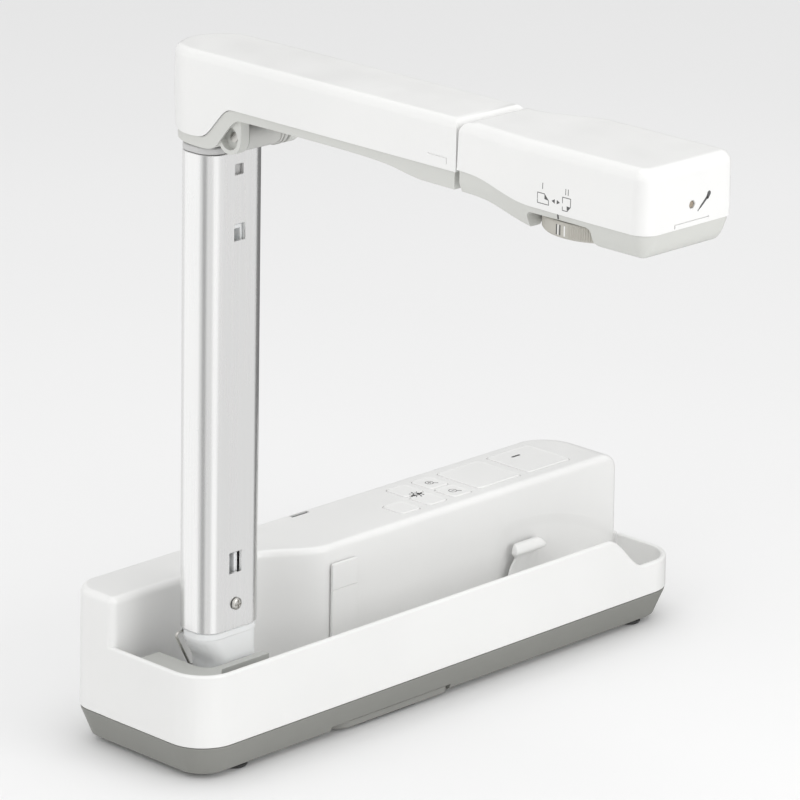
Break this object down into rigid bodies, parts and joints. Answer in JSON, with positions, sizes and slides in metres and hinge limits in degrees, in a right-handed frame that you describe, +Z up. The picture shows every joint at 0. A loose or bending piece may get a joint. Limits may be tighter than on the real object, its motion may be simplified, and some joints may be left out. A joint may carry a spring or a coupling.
{
  "type": "document camera",
  "caption": "Folding desk document camera: tray base with a control tower, aluminium column, swivelling and folding arm, and a camera head with a ring dial.",
  "frame": {"origin": "on the table under the middle of the bounding box", "axes": "+Z up, +X along the base from the column towards the keys, -Y from the base towards the camera head"},
  "size_m": [0.29, 0.2904, 0.296],
  "materials": {
    "shell_white": "fine satin moulded plastic",
    "key_white": "fine satin moulded plastic",
    "foot_white": "semi-gloss, slightly milky",
    "cover_gray": "fine matt texture",
    "trim_gray": "satin",
    "arm_gray": "satin",
    "collar_gray": "satin",
    "knuckle_gray": "satin",
    "dial_gray": "fine ribbed edge",
    "support_gray": "satin",
    "bracket_dark": "satin black",
    "tube_aluminium": "satin anodised",
    "steel": "plated",
    "ballast_iron": "raw plate",
    "circuit_board": "solder mask",
    "window_dark": "gloss",
    "black_plastic": "satin",
    "lens_clear": "clear",
    "rubber_black": "matt"
  },
  "bodies": {
    "base": {"base_upper_cover": "shell_white", "base_lower_cover": "cover_gray", "foot_surround": "trim_gray", "hinge_bracket": "bracket_dark", "column_pin": "steel", "ballast_plate": "ballast_iron", "main_board": "circuit_board", "usb_socket": "steel", "rear_lamp": "window_dark", "arm_clip": "shell_white", "wall_pad": "shell_white", "rubber_foot_1": "rubber_black", "rubber_foot_2": "rubber_black", "rubber_foot_3": "rubber_black", "rubber_foot_4": "rubber_black", "bottom_screw_1": "steel", "bottom_screw_2": "steel", "bottom_screw_3": "steel", "bottom_screw_4": "steel"},
    "column": {"column_tube": "tube_aluminium", "column_foot": "foot_white", "column_screw": "steel", "column_collar": "collar_gray", "upper_insert": "foot_white", "lock_wire": "steel"},
    "knuckle": {"swivel_block": "knuckle_gray", "swivel_nut": "steel"},
    "arm": {"arm_top_cover": "shell_white", "arm_lower_cover": "arm_gray", "fold_pin": "steel", "roll_bearing": "knuckle_gray"},
    "head": {"head_top_cover": "shell_white", "head_lower_cover": "arm_gray", "roll_shaft": "knuckle_gray", "camera_board": "circuit_board", "lamp_lens": "lens_clear", "microphone": "black_plastic"},
    "dial": {"rotation_dial": "dial_gray", "lens_barrel": "black_plastic", "lens_glass": "lens_clear"},
    "support": {"support_foot": "support_gray", "support_pad": "rubber_black"},
    "key_source": {"key_source": "key_white"},
    "key_bright_down": {"key_bright_down": "key_white"},
    "key_bright_up": {"key_bright_up": "key_white"},
    "key_zoom_out": {"key_zoom_out": "key_white"},
    "key_zoom_in": {"key_zoom_in": "key_white"},
    "key_focus": {"key_focus": "key_white"},
    "key_freeze": {"key_freeze": "key_white"}
  },
  "joints": [
    {"name": "column_fold", "type": "hinge", "parent": "base", "child": "column", "pos_m": [-0.1108, 0.09235, 0.027], "axis": [0, 1, 0], "range_deg": [0, 75]},
    {"name": "arm_swivel", "type": "hinge", "parent": "column", "child": "knuckle", "pos_m": [-0.1108, 0.09235, 0.258], "axis": [0, 0, -1], "range_deg": [-90, 90]},
    {"name": "arm_fold", "type": "hinge", "parent": "knuckle", "child": "arm", "pos_m": [-0.1108, 0.07175, 0.2645], "axis": [1, 0, 0], "range_deg": [0, 86]},
    {"name": "head_roll", "type": "hinge", "parent": "arm", "child": "head", "pos_m": [-0.1108, -0.05135, 0.2826], "axis": [0, 1, 0], "range_deg": [-90, 90]},
    {"name": "dial_turn", "type": "hinge", "parent": "head", "child": "dial", "pos_m": [-0.1094, -0.10525, 0.266], "axis": [0, 0, 1], "range_deg": [0, 90]},
    {"name": "support_slide", "type": "slide", "parent": "base", "child": "support", "axis": [0, -1, 0], "range_m": [0, 0.045]},
    {"name": "press_source", "type": "slide", "parent": "base", "child": "key_source", "axis": [0, 0, -1], "range_m": [0, 0.0008], "stiffness_N_per_m": 800, "springref_m": -0.0005},
    {"name": "press_bright_down", "type": "slide", "parent": "base", "child": "key_bright_down", "axis": [0, 0, -1], "range_m": [0, 0.0008], "stiffness_N_per_m": 800, "springref_m": -0.0005},
    {"name": "press_bright_up", "type": "slide", "parent": "base", "child": "key_bright_up", "axis": [0, 0, -1], "range_m": [0, 0.0008], "stiffness_N_per_m": 800, "springref_m": -0.0005},
    {"name": "press_zoom_out", "type": "slide", "parent": "base", "child": "key_zoom_out", "axis": [0, 0, -1], "range_m": [0, 0.0008], "stiffness_N_per_m": 800, "springref_m": -0.0005},
    {"name": "press_zoom_in", "type": "slide", "parent": "base", "child": "key_zoom_in", "axis": [0, 0, -1], "range_m": [0, 0.0008], "stiffness_N_per_m": 800, "springref_m": -0.0005},
    {"name": "press_focus", "type": "slide", "parent": "base", "child": "key_focus", "axis": [0, 0, -1], "range_m": [0, 0.0008], "stiffness_N_per_m": 800, "springref_m": -0.0005},
    {"name": "press_freeze", "type": "slide", "parent": "base", "child": "key_freeze", "axis": [0, 0, -1], "range_m": [0, 0.0008], "stiffness_N_per_m": 800, "springref_m": -0.0005}
  ]
}
